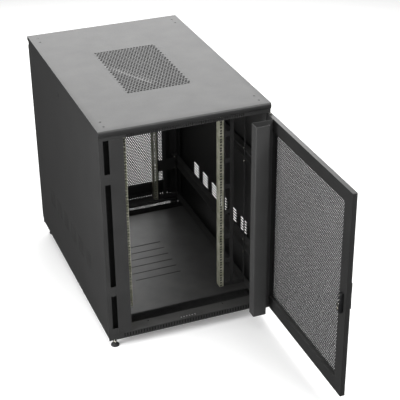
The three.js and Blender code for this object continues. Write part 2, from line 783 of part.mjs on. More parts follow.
add(door, 'lock_case', lockCase(), 'plastic');
add(door, 'latch_cam', latchCam(), 'steel');

add(cabinet, 'rear_door_frame', rearDoorFrame(), 'panel');
add(cabinet, 'rear_door_mesh', rearDoorMesh(), 'mesh');
add(cabinet, 'rear_door_lock', rearLock(), 'plastic');

export default rack;
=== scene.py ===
# Network server rack cabinet: the looks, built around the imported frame.
import math
import random

import bmesh
import bpy
from mathutils import Matrix, Vector


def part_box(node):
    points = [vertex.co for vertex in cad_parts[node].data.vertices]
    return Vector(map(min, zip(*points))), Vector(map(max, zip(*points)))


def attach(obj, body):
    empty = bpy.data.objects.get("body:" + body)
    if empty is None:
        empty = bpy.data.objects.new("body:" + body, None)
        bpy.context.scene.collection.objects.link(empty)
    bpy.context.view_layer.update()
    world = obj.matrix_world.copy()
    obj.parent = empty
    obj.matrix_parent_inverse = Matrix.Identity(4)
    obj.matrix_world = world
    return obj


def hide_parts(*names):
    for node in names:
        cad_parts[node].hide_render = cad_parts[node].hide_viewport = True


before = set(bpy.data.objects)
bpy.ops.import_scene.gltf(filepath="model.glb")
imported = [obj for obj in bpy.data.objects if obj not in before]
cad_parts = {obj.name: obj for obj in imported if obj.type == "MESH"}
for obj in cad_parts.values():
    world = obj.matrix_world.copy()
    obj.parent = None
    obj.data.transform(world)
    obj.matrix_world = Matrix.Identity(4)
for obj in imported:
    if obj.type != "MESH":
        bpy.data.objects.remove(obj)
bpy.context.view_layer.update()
frontRail, rearRail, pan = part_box("base_front_rail"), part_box("base_rear_rail"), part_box("bottom_panel")
mm = 0.001
random.seed(22)
print("frame loaded:", len(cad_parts), "nodes")


# small tools
def hexColour(code):
    channels = [int(code[i:i + 2], 16) / 255 for i in (1, 3, 5)]
    return [c / 12.92 if c <= 0.04045 else ((c + 0.055) / 1.055) ** 2.4 for c in channels] + [1.0]


# links what is a node (by its first output) or a socket to a node's inputs, and sets anything else
def feed(tree, node, inputs):
    for key, value in inputs.items():
        if isinstance(value, bpy.types.Node):
            value = value.outputs[0]
        if isinstance(value, bpy.types.NodeSocket):
            tree.links.new(value, node.inputs[key])
        else:
            node.inputs[key].default_value = value
    return node


def addNode(tree, kind, inputs=None, **settings):
    node = tree.nodes.new("ShaderNode" + kind)
    for key, value in settings.items():
        setattr(node, key, value)
    return feed(tree, node, inputs or {})


def newPiece(name, build):
    mesh = bpy.data.meshes.new(name)
    bmesh.ops.recalc_face_normals(build, faces=build.faces)
    build.to_mesh(mesh)
    build.free()
    piece = bpy.data.objects.new(name, mesh)
    bpy.context.scene.collection.objects.link(piece)
    return piece


def fitPiece(piece, material, body, slotName, *replaced):
    piece.data.materials.clear()
    piece.data.materials.append(material)
    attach(piece, body)
    if replaced:
        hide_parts(*replaced)
    return piece


creaseAngle = 32   # degrees: an edge sharper than this is an edge, anything less is a curve


# rolls every edge sharper than the angle and shades the rest smooth
def softenEdges(piece, radius, segments=2, angle=creaseAngle):
    for face in piece.data.polygons:
        face.use_smooth = True
    piece.data.set_sharp_from_angle(angle=math.radians(angle))
    if radius:
        bevel = piece.modifiers.new("edgeRadius", "BEVEL")
        bevel.width = radius
        bevel.segments = segments
        bevel.limit_method = "ANGLE"
        bevel.angle_limit = math.radians(angle)
        bevel.harden_normals = True
    return piece


# a piece whose own outline already has its rounded edges
def smoothPiece(name, build, angle=creaseAngle):
    return softenEdges(newPiece(name, build), 0, angle=angle)


# a CAD node's own shape with the broken edges that sheet steel has
def softCopy(node, radius):
    build = bmesh.new()
    build.from_mesh(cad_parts[node].data)
    weldDistance, flat = 1e-6, math.radians(1)
    bmesh.ops.remove_doubles(build, verts=build.verts, dist=weldDistance)
    bmesh.ops.dissolve_limit(build, angle_limit=flat, verts=build.verts, edges=build.edges)
    return softenEdges(newPiece(node + "_formed", build), radius)


def centre(low, high):
    return [(low[i] + high[i]) / 2 for i in range(3)]


def roundedBlock(build, low, high, radius, segments=3):
    made = bmesh.ops.create_cube(build, size=1.0)
    low, high = Vector(low), Vector(high)
    size, middle = high - low, (high + low) / 2
    for vert in made["verts"]:
        vert.co = Vector([middle[i] + vert.co[i] * size[i] for i in range(3)])
    edges = list({edge for vert in made["verts"] for edge in vert.link_edges})
    bmesh.ops.bevel(build, geom=edges, offset=radius, segments=segments, affect="EDGES", profile=0.5)


def joinRings(build, lower, upper):
    for k in range(len(lower)):
        n = (k + 1) % len(lower)
        build.faces.new([lower[k], lower[n], upper[n], upper[k]])


# a closed skin over rings of points, flat at both ends
def closeRings(build, rings):
    for lower, upper in zip(rings, rings[1:]):
        joinRings(build, lower, upper)
    build.faces.new(rings[0][::-1])
    build.faces.new(rings[-1])


# turns a profile of (radius, height) points about an axis through base
def turned(build, profile, base, axis, sides=32):
    spin = Vector((0, 0, 1)).rotation_difference(Vector(axis)).to_matrix()
    rings = []
    for radius, height in profile:
        count = sides if radius else 1   # a ring on the axis is one point
        angles = [2 * math.pi * k / count for k in range(count)]
        rings.append([build.verts.new(Vector(base) + spin @ Vector((
            radius * math.cos(a), radius * math.sin(a), height))) for a in angles])
    for lower, upper in zip(rings, rings[1:]):
        for k in range(sides):
            corners = [lower[k % len(lower)], lower[(k + 1) % len(lower)],
                       upper[(k + 1) % len(upper)], upper[k % len(upper)]]
            corners = list(dict.fromkeys(corners))
            if len(corners) > 2:
                build.faces.new(corners)
    for ring in (rings[0], rings[-1]):
        if len(ring) > 1:
            build.faces.new(ring)


def turnedPiece(name, profile, base, axis, sides=32):
    build = bmesh.new()
    turned(build, profile, base, axis, sides)
    return newPiece(name, build)


# the section of a folded sheet: a middle line with rounded bends, then its two faces
def foldedSection(path, thickness, bend, steps=5):
    points = [Vector(p) for p in path]
    line = [(points[0], (points[1] - points[0]).normalized())]
    for before, corner, after in zip(points, points[1:], points[2:]):
        inward, outward = (corner - before).normalized(), (after - corner).normalized()
        turn = math.atan2(inward.x * outward.y - inward.y * outward.x, inward.dot(outward))
        radius = bend + thickness / 2
        start = corner - inward * radius * math.tan(abs(turn) / 2)
        side = Vector((-inward.y, inward.x)) * math.copysign(1, turn)
        middle = start + side * radius
        for k in range(steps + 1):
            swing = Matrix.Rotation(turn * k / steps, 2)
            line.append((middle + swing @ (start - middle), swing @ inward))
    line.append((points[-1], (points[-1] - points[-2]).normalized()))
    half = thickness / 2
    left = [p + Vector((-d.y, d.x)) * half for p, d in line]
    right = [p - Vector((-d.y, d.x)) * half for p, d in line]
    return left + right[::-1]


# stacks closed outlines into one skin; place turns (a, b, height) into a point
def stacked(build, layers, place):
    rings = [[build.verts.new(place(a, b, height)) for a, b in outline] for outline, height in layers]
    closeRings(build, rings)


# cuts a tool away from a piece, or joins it on, and keeps only the result
def shapeWith(piece, tool, action="DIFFERENCE"):
    form = piece.modifiers.new("form", "BOOLEAN")
    form.object, form.operation, form.solver = tool, action, "EXACT"
    form.use_self = True
    bpy.context.view_layer.update()
    shaped = bpy.data.meshes.new_from_object(piece.evaluated_get(bpy.context.evaluated_depsgraph_get()))
    piece.modifiers.clear()
    piece.data = shaped
    bpy.data.objects.remove(tool)
    return piece


def roundedOutline(halfWidth, halfHeight, radius, steps=6):
    points = []
    for quarter, (sx, sy) in enumerate(((1, 1), (-1, 1), (-1, -1), (1, -1))):
        for k in range(steps + 1):
            angle = math.pi / 2 * (quarter + k / steps)
            points.append((sx * (halfWidth - radius) + radius * math.cos(angle),
                           sy * (halfHeight - radius) + radius * math.sin(angle)))
    return points


# a new material, its node tree, its shader and the coordinates that its patterns follow
def startMaterial(name):
    material = bpy.data.materials.new(name)
    material.use_nodes = True
    tree = material.node_tree
    return material, tree, tree.nodes["Principled BSDF"], addNode(tree, "TexCoord").outputs["Object"]


# Black epoxy-polyester powder coat, sprayed on steel and baked with a fine texture: a soft sheen broken
# by small grain. Faces that look up are paler: partly settled dust, partly painted light from above.
def texturedPowderCoat(name, deep, light, roughness, dustAndTopLight=0.10, grainSize=1.6, grainHeight=0.05):
    material, tree, shader, place = startMaterial(name)
    # the real grain is about 0.4 mm; it is drawn four times coarser so that it shows
    grain = addNode(tree, "TexNoise", {"Vector": place, "Scale": 1 / (grainSize * mm), "Detail": 3.0})
    cloud = addNode(tree, "TexNoise", {"Vector": place, "Scale": 1 / (120 * mm), "Detail": 4.0})
    tone = addNode(tree, "MapRange", {"Value": cloud, "From Min": 0.3, "From Max": 0.7})
    paint = addNode(tree, "Mix", {0: tone, 6: hexColour(deep), 7: hexColour(light)}, data_type="RGBA")
    normal = addNode(tree, "NewGeometry").outputs["Normal"]
    facing = addNode(tree, "SeparateXYZ", {0: normal}).outputs["Z"]
    # faces that look up go paler: partly settled dust, partly painted light from above
    upwardDustAndLight = addNode(tree, "MapRange", {"Value": facing, "From Min": 0.6, "To Max": 2 * dustAndTopLight})
    dustAndTopLightMask = addNode(tree, "Math", {0: upwardDustAndLight, 1: cloud}, operation="MULTIPLY")
    coat = addNode(tree, "Mix", {0: dustAndTopLightMask, 6: paint.outputs[2], 7: hexColour("#8c8b89")},
                   data_type="RGBA")
    gloss = addNode(tree, "MapRange", {"Value": grain, "From Min": 0.3, "From Max": 0.7,
                                       "To Min": roughness - 0.05, "To Max": roughness + 0.06})
    bump = addNode(tree, "Bump", {"Height": grain, "Distance": grainHeight * mm})
    feed(tree, shader, {"Base Color": coat.outputs[2], "Roughness": gloss, "Normal": bump})
    return material


# Zinc plate with yellow-green passivation, dipped over rolled steel: a satin metal with faint clouding
# and the long lines of the rolling underneath.
def passivatedZinc():
    material, tree, shader, place = startMaterial("passivatedZinc")
    cloud = addNode(tree, "TexNoise", {"Vector": place, "Scale": 1 / (35 * mm), "Detail": 5.0})
    tint = addNode(tree, "ValToRGB", {0: cloud})
    for stop, position, shade in zip(tint.color_ramp.elements, (0.35, 0.68), ("#b3b49c", "#dcdbca")):
        stop.position, stop.color = position, hexColour(shade)
    # rolling lines run up the rail, about 1.2 mm apart
    stretch = addNode(tree, "Mapping", {0: place, "Scale": (1.0, 1.0, 0.03)})
    lines = addNode(tree, "TexNoise", {"Vector": stretch, "Scale": 1 / (1.2 * mm)})
    satin = addNode(tree, "MapRange", {"Value": lines, "To Min": 0.30, "To Max": 0.48})
    bump = addNode(tree, "Bump", {"Height": lines, "Distance": 0.02 * mm})
    feed(tree, shader, {"Base Color": tint, "Metallic": 0.55, "Roughness": satin, "Normal": bump})
    return material


# Nickel-plated steel, barrel-polished: bright and hard-edged, with small handling marks.
def nickelPlate():
    material, tree, shader, place = startMaterial("nickelPlate")
    marks = addNode(tree, "TexNoise", {"Vector": place, "Scale": 1 / (2.5 * mm), "Detail": 6.0})
    shine = addNode(tree, "MapRange", {"Value": marks, "To Min": 0.14, "To Max": 0.34})
    feed(tree, shader, {"Base Color": hexColour("#cfccc4"), "Metallic": 1.0, "Roughness": shine})
    return material


# Black polymer, such as polyamide or rubber from a spark-eroded mould, drawn nylon or cut foam: an even
# grain and a dull sheen.
def mouldedBlack(name, shade, roughness, grainSize):
    material, tree, shader, place = startMaterial(name)
    grain = addNode(tree, "TexVoronoi", {"Vector": place, "Scale": 1 / (grainSize * mm)})
    haze = addNode(tree, "TexNoise", {"Vector": place, "Scale": 1 / (18 * mm), "Detail": 3.0})
    sheen = addNode(tree, "MapRange", {"Value": haze, "To Min": roughness - 0.08,
                                       "To Max": roughness + 0.08})
    bump = addNode(tree, "Bump", {"Height": grain, "Distance": 0.04 * mm})
    feed(tree, shader, {"Base Color": hexColour(shade), "IOR": 1.53, "Roughness": sheen, "Normal": bump})
    return material


frameCoat = texturedPowderCoat("framePowderCoat", "#2a2a2a", "#2f2f2f", 0.44)
panelCoat = texturedPowderCoat("panelPowderCoat", "#242424", "#282828", 0.42)
roofCoat = texturedPowderCoat("roofPowderCoat", "#242424", "#282828", 0.42, 0.08)
# the guard wears a paler copy of the frame's black coat: painted light, not a different paint
guardPaintedLightCoat = texturedPowderCoat("guardPaintedLightPowderCoat", "#3a3a3a", "#3e3e3e", 0.44)
meshCoat = texturedPowderCoat("meshPowderCoat", "#343434", "#3a3a3a", 0.45, 0.0)
zincPlate = passivatedZinc()
brightNickel = nickelPlate()
polyamide = mouldedBlack("mouldedPolyamide", "#1a1b1d", 0.42, 0.9)
rubber = mouldedBlack("mouldedRubber", "#1b1b1c", 0.68, 1.4)
bristleNylon = mouldedBlack("bristleNylon", "#101011", 0.55, 1.0)
blackFoam = mouldedBlack("closedCellFoam", "#0b0b0b", 0.85, 2.2)
print("materials ready")


# frame steel that keeps its CAD shape
sheetEdge, railEdge, panelEdge = 0.4 * mm, 0.3 * mm, 0.5 * mm
ends, hands, levels = ("front", "rear"), ("left", "right"), ("lower", "upper")
plainSteel = [f"base_{end}_rail" for end in ends] + [f"base_{hand}_sill" for hand in hands]
plainSteel += ["bottom_panel"] + [f"{end}_{hand}_post" for end in ends for hand in hands]
plainSteel += ["front_left_cover"] + [f"top_{edge}_rail" for edge in ends + hands]
plainSteel += [f"{hand}_{level}_beam" for level in levels for hand in hands]
plainSteel += [f"{end}_{hand}_bracket" for end in ends for hand in hands[::-1]]
plainSteel += [f"{end}_{level}_hinge_bracket" for end in ends for level in levels[::-1]]
for node in plainSteel:
    fitPiece(softCopy(node, sheetEdge), frameCoat, "cabinet", "frame_coat", node)
for rail in [f"{end}_{hand}_rail" for end in ends for hand in hands]:
    fitPiece(softCopy(rail, railEdge), zincPlate, "cabinet", "zinc_rail", rail)
# the plate behind the left slot is faced with black foam
backing = "left_slot_backing"
fitPiece(softCopy(backing, sheetEdge), blackFoam, "cabinet", "frame_coat", backing)
print("frame steel ready")


# roof: one sheet with a rolled front lip and folded sides
roof = {"sheet": 1.5 * mm, "rollSteps": 20, "seam": 0.3 * mm, "grilleGap": 0.3 * mm, "edge": 0.5 * mm,
        "holeRadius": 5 * mm, "holeInset": 40 * mm, "holeRows": [40 * mm, 91 * mm]}
shadePlug = {"play": 0.1 * mm, "wall": 1.6 * mm, "tall": 2 * mm, "bevel": 0.5 * mm, "sunk": 3.4 * mm}


def roofHolePlaces():
    low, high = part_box("roof_panel")
    return [(x, y) for row in roof["holeRows"]
            for x in (low.x + roof["holeInset"], high.x - roof["holeInset"])
            for y in (frontRail[0].y + row, rearRail[1].y - row)]


def roofShell():
    low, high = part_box("roof_panel")
    grilleLow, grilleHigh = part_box("roof_grille")
    sheet, seam, gap = roof["sheet"], roof["seam"], roof["grilleGap"]
    front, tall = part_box("top_front_rail")[0].y - seam, high.z - low.z
    section = [(front, low.z)]
    for k in range(roof["rollSteps"] + 1):
        turn = math.pi * k / roof["rollSteps"]
        bulge = (front - sheet - low.y) * math.sin(turn)
        section.append((front - sheet - bulge, low.z + tall * (1 - math.cos(turn)) / 2))
    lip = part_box("top_front_rail")[1].z
    section += [(high.y, high.z), (high.y, lip), (high.y - sheet, lip),
                (high.y - sheet, high.z - sheet), (front, high.z - sheet)]
    build = bmesh.new()
    stacked(build, [(section, low.x), (section, high.x)], lambda a, b, along: (along, a, b))
    sheetPiece = newPiece("roof_shell", build)
    sides = bmesh.new()
    for x in (low.x, high.x - sheet):
        roundedBlock(sides, (x, front - seam, lip + seam),
                     (x + sheet, high.y - sheet / 2, high.z - sheet / 2), 0.2 * mm, 1)
    cutters = bmesh.new()
    roundedBlock(cutters, (grilleLow.x - gap, grilleLow.y - gap, high.z - 3 * sheet),
                 (grilleHigh.x + gap, grilleHigh.y + gap, high.z + 3 * sheet), 0.1 * mm, 1)
    for x, y in roofHolePlaces():
        turned(cutters, [(roof["holeRadius"], 0), (roof["holeRadius"], 8 * sheet)],
               (x, y, high.z - 4 * sheet), (0, 0, 1), 24)
    shapeWith(sheetPiece, newPiece("roofSides", sides), "UNION")
    shapeWith(sheetPiece, newPiece("roofCuts", cutters))
    softenEdges(sheetPiece, roof["edge"])
    fitPiece(sheetPiece, roofCoat, "cabinet", "panel_coat", "roof_panel")


# black polyamide plugs sunk in the roof's eight holes: painted shade, so that the holes read dark instead
# of showing the lit rail below
def roofHoleShadePlugs():
    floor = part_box("roof_panel")[1].z - shadePlug["sunk"]
    radius = roof["holeRadius"] - shadePlug["play"]
    profile = [(0, 0), (radius, 0), (radius, shadePlug["wall"]), (radius - shadePlug["bevel"], shadePlug["tall"]),
               (0, shadePlug["tall"])]
    build = bmesh.new()
    for x, y in roofHolePlaces():
        turned(build, profile, (x, y, floor), (0, 0, 1), 24)
    fitPiece(smoothPiece("roof_hole_shade_plugs", build), polyamide, "cabinet", "black_plastic")


roofShell()
roofHoleShadePlugs()
print("roof ready")


# a perforated sheet: staggered holes inside a plain border. Between the holes lie straight bars and the
# small joints where three bars meet; both skins and the wall of every hole are real faces.
def perforatedSheet(name, low, high, thickness, hole, place):
    pitch, rowPitch, radius, steps = hole["pitch"], hole["rowPitch"], hole["radius"], hole["steps"]
    sides = 6 * steps
    room = [high[i] - low[i] - 2 * (hole["border"] + radius) for i in (0, 1)]
    columns, rows = int(room[0] / pitch + 0.5), int(room[1] / rowPitch) + 1
    middle = [(low[i] + high[i]) / 2 for i in (0, 1)]
    verts, first = [], {}
    for row in range(rows):
        for column in range(columns):
            first[(column, row)] = len(verts)
            a = middle[0] + (column + 0.5 * (row % 2) - (columns - 0.5) / 2) * pitch
            b = middle[1] + (row - (rows - 1) / 2) * rowPitch
            for k in range(sides):
                angle = math.pi / 6 + 2 * math.pi * k / sides
                verts.append((a + radius * math.cos(angle), b + radius * math.sin(angle)))

    def arc(start, corner):   # the points of one sixth of a hole, from one corner to the next
        return [start + (corner * steps + k) % sides for k in range(steps + 1)]

    flats = []
    for (column, row), own in first.items():
        shift = row % 2
        right = first.get((column + 1, row))
        upRight = first.get((column + shift, row + 1))
        upLeft = first.get((column + shift - 1, row + 1))
        for other, corner in ((right, 5), (upRight, 0), (upLeft, 1)):
            if other is not None:
                flats.append(arc(own, corner)[::-1] + arc(other, (corner + 3) % 6)[::-1])
        if right is not None and upRight is not None:
            flats.append([own, right + 2 * steps, upRight + 4 * steps])
        if upRight is not None and upLeft is not None:
            flats.append([own + steps, upRight + 3 * steps, upLeft + 5 * steps])
    walls = [(start + k, start + (k + 1) % sides) for start in first.values() for k in range(sides)]
    used = {(face[k - 1], face[k]) for face in flats for k in range(len(face))}
    holeEdges = set(walls) | {(b, a) for a, b in walls}
    rim = [(a, b) for a, b in walls if (b, a) not in used and (a, b) not in used]
    rim += [(a, b) for a, b in used if (b, a) not in used and (a, b) not in holeEdges]
    corners = range(len(verts), len(verts) + 4)
    verts += [(low[0], low[1]), (high[0], low[1]), (high[0], high[1]), (low[0], high[1])]
    outside = [(corners[k], corners[(k + 1) % 4]) for k in range(4)]
    fill, made = bmesh.new(), {}
    for edge in rim + outside:
        for index in edge:
            if index not in made:
                made[index] = fill.verts.new((verts[index][0], verts[index][1], 0))
        fill.edges.new((made[edge[0]], made[edge[1]]))
    number = {vert: index for index, vert in made.items()}
    bmesh.ops.triangle_fill(fill, use_beauty=True, edges=fill.edges[:])
    flats += [[number[vert] for vert in face.verts] for face in fill.faces]
    fill.free()
    count = len(verts)
    points = [place(a, b, along) for along in (0, thickness) for a, b in verts]
    faces = flats + [[index + count for index in face] for face in flats]
    faces += [(a, b, b + count, a + count) for a, b in walls + outside]
    mesh = bpy.data.meshes.new(name)
    mesh.from_pydata(points, [], faces)
    build = bmesh.new()
    build.from_mesh(mesh)
    bpy.data.meshes.remove(mesh)
    return newPiece(name, build)


# the doors' six-sided holes, 4.9 mm across their flats, and the roof grille's round ones
doorHoles = {"pitch": 11 * mm, "rowPitch": 11 * mm * math.sqrt(3) / 2, "radius": 2.85 * mm, "steps": 1,
             "border": 4 * mm}
roofHoles = {"pitch": 15.3 * mm, "rowPitch": 15.9 * mm, "radius": 6.1 * mm, "steps": 3, "border": 1 * mm}
sheetThickness = 1.2 * mm
mat = {"overlap": 6 * mm, "top": 1 * mm, "bottom": 9 * mm, "edge": 2 * mm}


# closed-cell foam cut to a block
def foamBlock(name, low, high, edge, segments=1):
    build = bmesh.new()
    roundedBlock(build, low, high, edge, segments)
    fitPiece(smoothPiece(name, build), blackFoam, "cabinet", "black_plastic")


def perforatedSheets():
    low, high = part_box("front_door_mesh")
    sheet = perforatedSheet("front_door_perforation", (low.y, low.z), (high.y, high.z), sheetThickness,
                            doorHoles, lambda a, b, along: (high.x - along, a, b))
    fitPiece(sheet, meshCoat, "front_door", "mesh_coat", "front_door_mesh")
    low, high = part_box("rear_door_mesh")
    sheet = perforatedSheet("rear_door_perforation", (low.x, low.z), (high.x, high.z), sheetThickness,
                            doorHoles, lambda a, b, along: (a, high.y - along, b))
    fitPiece(sheet, meshCoat, "rear_door", "mesh_coat", "rear_door_mesh")
    low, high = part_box("roof_grille")
    sheet = perforatedSheet("roof_perforation", (low.x, low.y), (high.x, high.y), high.z - low.z,
                            roofHoles, lambda a, b, along: (a, b, high.z - along))
    fitPiece(sheet, roofCoat, "cabinet", "panel_coat", "roof_grille")
    # a dust filter mat of black foam lies under the grille
    lap = mat["overlap"]
    foamBlock("roof_filter_mat", (low.x - lap, low.y - lap, low.z - mat["bottom"]),
              (high.x + lap, high.y + lap, low.z - mat["top"]), mat["edge"], 3)


perforatedSheets()
print("perforated sheets ready")


# a four-sided frame with rounded corners, its window and every edge rolled
def pictureFrame(name, low, high, borders, depth, place, corner, edge):
    windowLow = (low[0] + borders[0], low[1] + borders[1])
    windowHigh = (high[0] - borders[0], high[1] - borders[1])
    build = bmesh.new()
    rings = []
    for (a0, b0), (a1, b1), radius in ((low, high, corner), (windowLow, windowHigh, corner / 2)):
        outline = roundedOutline((a1 - a0) / 2, (b1 - b0) / 2, radius, 4)
        shifted = [((a0 + a1) / 2 + a, (b0 + b1) / 2 + b) for a, b in outline]
        rings.append([[build.verts.new(place(a, b, along)) for a, b in shifted] for along in (0, depth)])
    (outerFront, outerBack), (innerFront, innerBack) = rings
    for lower, upper in ((outerFront, innerFront), (innerFront, innerBack), (innerBack, outerBack),
                         (outerBack, outerFront)):
        joinRings(build, lower, upper)
    return softenEdges(newPiece(name, build), edge, 3)


frontDoor = {"border": 60 * mm, "corner": 3 * mm, "edge": 1.2 * mm}
clamp = {"width": 9 * mm, "depth": 5 * mm, "gap": 0.2 * mm, "corner": 1 * mm, "edge": 0.5 * mm}


def frontDoorFrame():
    low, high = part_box("front_door_lock_stile")
    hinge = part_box("front_door_hinge_stile")[1]
    ring = pictureFrame("front_door_frame", (low.y, low.z), (hinge.y, high.z),
                        (frontDoor["border"], frontDoor["border"]), high.x - low.x,
                        lambda a, b, along: (low.x + along, a, b), frontDoor["corner"], frontDoor["edge"])
    fitPiece(ring, panelCoat, "front_door", "panel_coat", "front_door_hinge_stile",
             "front_door_lock_stile", "front_door_bottom_rail", "front_door_top_rail")
    # a folded strip clamps the perforated sheet all round, just inside it
    sheetLow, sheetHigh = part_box("front_door_mesh")
    inner = sheetHigh.x - sheetThickness - clamp["gap"]
    strip = pictureFrame("front_door_clamp_strip", (sheetLow.y, sheetLow.z), (sheetHigh.y, sheetHigh.z),
                         (clamp["width"], clamp["width"]), clamp["depth"],
                         lambda a, b, along: (inner - along, a, b), clamp["corner"], clamp["edge"])
    fitPiece(strip, panelCoat, "front_door", "panel_coat")


rearDoor = {"sideBorder": 93 * mm, "endBorder": 76 * mm, "sheet": 1.5 * mm, "corner": 2 * mm,
            "edge": 0.5 * mm, "foldGap": 0.1 * mm, "foldEdge": 0.3 * mm}


# the rear door is a shallow tray: a skin with a window, and edges folded towards the cabinet
def rearDoorTray():
    low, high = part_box("rear_door_frame")
    sheet = rearDoor["sheet"]
    skin = pictureFrame("rear_door_tray", (low.x, low.z), (high.x, high.z),
                        (rearDoor["sideBorder"], rearDoor["endBorder"]), sheet,
                        lambda a, b, along: (a, high.y - along, b), rearDoor["corner"], rearDoor["edge"])
    fitPiece(skin, panelCoat, "rear_door", "panel_coat", "rear_door_frame")
    folds = pictureFrame("rear_door_folds", (low.x, low.z), (high.x, high.z), (sheet, sheet),
                         high.y - low.y - sheet - rearDoor["foldGap"],
                         lambda a, b, along: (a, low.y + along, b), rearDoor["corner"],
                         rearDoor["foldEdge"])
    fitPiece(folds, panelCoat, "rear_door", "panel_coat")


frontDoorFrame()
rearDoorTray()
print("door frames ready")


guard = {"foot": 26 * mm, "mouth": 37.7 * mm, "lip": 14 * mm, "sheet": 1.5 * mm, "bend": 2.2 * mm,
         "edge": 0.25 * mm, "screwsUp": 114 * mm, "screwsDown": 67 * mm}


# cable guard on the hinge side: one sheet with four bends, open towards the door
def hingeGuard():
    low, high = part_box("hinge_guard")
    half = guard["sheet"] / 2
    near, far = high.y - guard["foot"] - half, low.y + half
    footX, faceX, mouthX = high.x - half, low.x + half, high.x - guard["mouth"] - half
    path = [(footX, high.y), (footX, near), (faceX, near), (faceX, far), (mouthX, far),
            (mouthX, far + guard["lip"] - half)]
    section = foldedSection(path, guard["sheet"], guard["bend"])
    build = bmesh.new()
    stacked(build, [(section, low.z), (section, high.z)], lambda a, b, along: (a, b, along))
    fitPiece(softenEdges(newPiece("hinge_cable_guard", build), guard["edge"], 1), guardPaintedLightCoat,
             "front_door", "panel_coat", "hinge_guard")


hingeGuard()

# pan-head screws with a round socket
screw = {"radius": 4.2 * mm, "height": 2.6 * mm, "socket": 1.9 * mm, "socketDepth": 1.4 * mm}
bolt = {"beside": 12 * mm, "inset": 5 * mm, "scale": 0.9}
coverScrew = {"inset": 34 * mm, "lowest": 16 * mm, "middle": 268 * mm, "highest": 188 * mm,
              "sunk": 2.0 * mm, "scale": 0.8}


def addScrew(build, base, axis, scale=1.0):
    r, h = screw["radius"] * scale, screw["height"] * scale
    s, d = screw["socket"] * scale, screw["socketDepth"] * scale
    dome = [(0.98 * r, 0.0), (r, 0.25 * h), (0.93 * r, 0.6 * h), (0.75 * r, 0.88 * h), (0.5 * r, h)]
    turned(build, [(0, 0)] + dome + [(s, h), (s, h - d), (0, h - d)], base, axis, 18)


def screwSet(name, places, axis, body, scale=1.0, material=None, slotName="bright_steel"):
    build = bmesh.new()
    for place in places:
        addScrew(build, place, axis, scale)
    fitPiece(smoothPiece(name, build), material or brightNickel, body, slotName)


def screws():
    low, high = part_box("hinge_guard")
    x, y = high.x - guard["sheet"], high.y - guard["foot"] / 2
    heights = low.z + guard["screwsUp"], high.z - guard["screwsDown"]
    screwSet("guard_screws", [(x, y, z) for z in heights], (-1, 0, 0), "front_door", 1.0, zincPlate)
    # bolts through the brackets into the depth beams, front and rear, left and right
    places = []
    for hand, inward in zip(hands, (1, -1)):
        for level in levels:
            beamLow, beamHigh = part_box(f"{hand}_{level}_beam")
            x = (beamHigh.x if hand == "left" else beamLow.x) + inward * bolt["inset"]
            places += [(x, beamLow.z - bolt["beside"]), (x, beamHigh.z + bolt["beside"])]
    for end in ends:
        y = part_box(end + "_right_bracket")[0].y
        screwSet(end + "_bracket_bolts", [(x, y, z) for x, z in places], (0, -1, 0), "cabinet",
                 bolt["scale"])
    # cover screws in the left post's tabs
    postLow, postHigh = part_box("front_left_post")
    x, y = postLow.x + coverScrew["inset"], postLow.y + coverScrew["sunk"]
    tabs = [postLow.z + coverScrew["lowest"], coverScrew["middle"], postHigh.z - coverScrew["highest"]]
    screwSet("cover_tab_screws", [(x, y, z) for z in tabs], (0, -1, 0), "cabinet",
             coverScrew["scale"], polyamide, "black_plastic")


screws()
print("guard and screws ready")


pin = {"leadWidth": 0.6 * mm, "leadLength": 0.8 * mm, "headEdge": 1.2 * mm, "neck": 0.5 * mm,
       "grooveStart": 7 * mm, "grooveEnd": 5.8 * mm, "grooveSlope": 0.2 * mm}


# hinge pins with a bevelled head, a lead-in chamfer and a clip groove
def hingePin(name, up, leadWidth, leadLength, headEdge, neck, grooveStart, grooveEnd, grooveSlope):
    low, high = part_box(name)
    x, y = centre(low, high)[:2]
    radius, length = (high.x - low.x) / 2, high.z - low.z
    thin, start, end = radius - neck, length - grooveStart, length - grooveEnd
    profile = [(0, 0), (radius - leadWidth, 0), (radius, leadLength), (radius, start),
               (thin, start + grooveSlope), (thin, end - grooveSlope), (radius, end),
               (radius, length - headEdge), (radius - headEdge, length), (0, length)]
    build = bmesh.new()
    turned(build, profile, (x, y, low.z if up > 0 else high.z), (0, 0, up), 24)
    fitPiece(smoothPiece(name.replace("hinge_pin", "pin_turned"), build), brightNickel, "cabinet",
             "bright_steel", name)


for end in ends:
    for level, up in (("upper", 1), ("lower", -1)):
        hingePin(f"{end}_{level}_hinge_pin", up, **pin)

handle = {"plateCorner": 12 * mm, "plateRim": 4.5 * mm, "recess": 2.2 * mm, "recessWall": 0.8 * mm,
          "plateEdge": 1.2 * mm, "headEdge": 1.0 * mm, "forkEdge": 0.3 * mm, "clearance": 0.3 * mm,
          "gripEdge": 0.35 * mm, "gripCrease": 40}
# the grip from its hinged foot to its top: height, half width and half thickness
gripStations = [(0, 8.0, 2.4), (3, 10.4, 4.0), (12, 11.0, 4.5), (36, 9.6, 4.4), (62, 9.2, 4.3),
                (84, 10.4, 4.5), (108, 11.0, 4.5), (118, 10.6, 4.1), (122, 8.8, 2.6)]


# the back plate, with a broad recess inside its rim
def handlePlate():
    low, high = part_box("handle_base")
    midY, midZ = centre(low, high)[1:]
    halfY, halfZ, depth = (high.y - low.y) / 2, (high.z - low.z) / 2, high.x - low.x
    edge, rim = handle["plateEdge"], handle["plateRim"]
    steps = [(0, 0), (0, depth - edge), (0.35 * edge, depth - 0.35 * edge), (edge, depth), (rim, depth),
             (rim + handle["recessWall"], depth - handle["recess"])]
    layers = [(roundedOutline(halfY - inset, halfZ - inset, handle["plateCorner"] - inset), height)
              for inset, height in steps]
    build = bmesh.new()
    stacked(build, layers, lambda a, b, along: (low.x + along, midY + a, midZ + b))
    fitPiece(smoothPiece("handle_back_plate", build), polyamide, "front_door", "black_plastic",
             "handle_base")


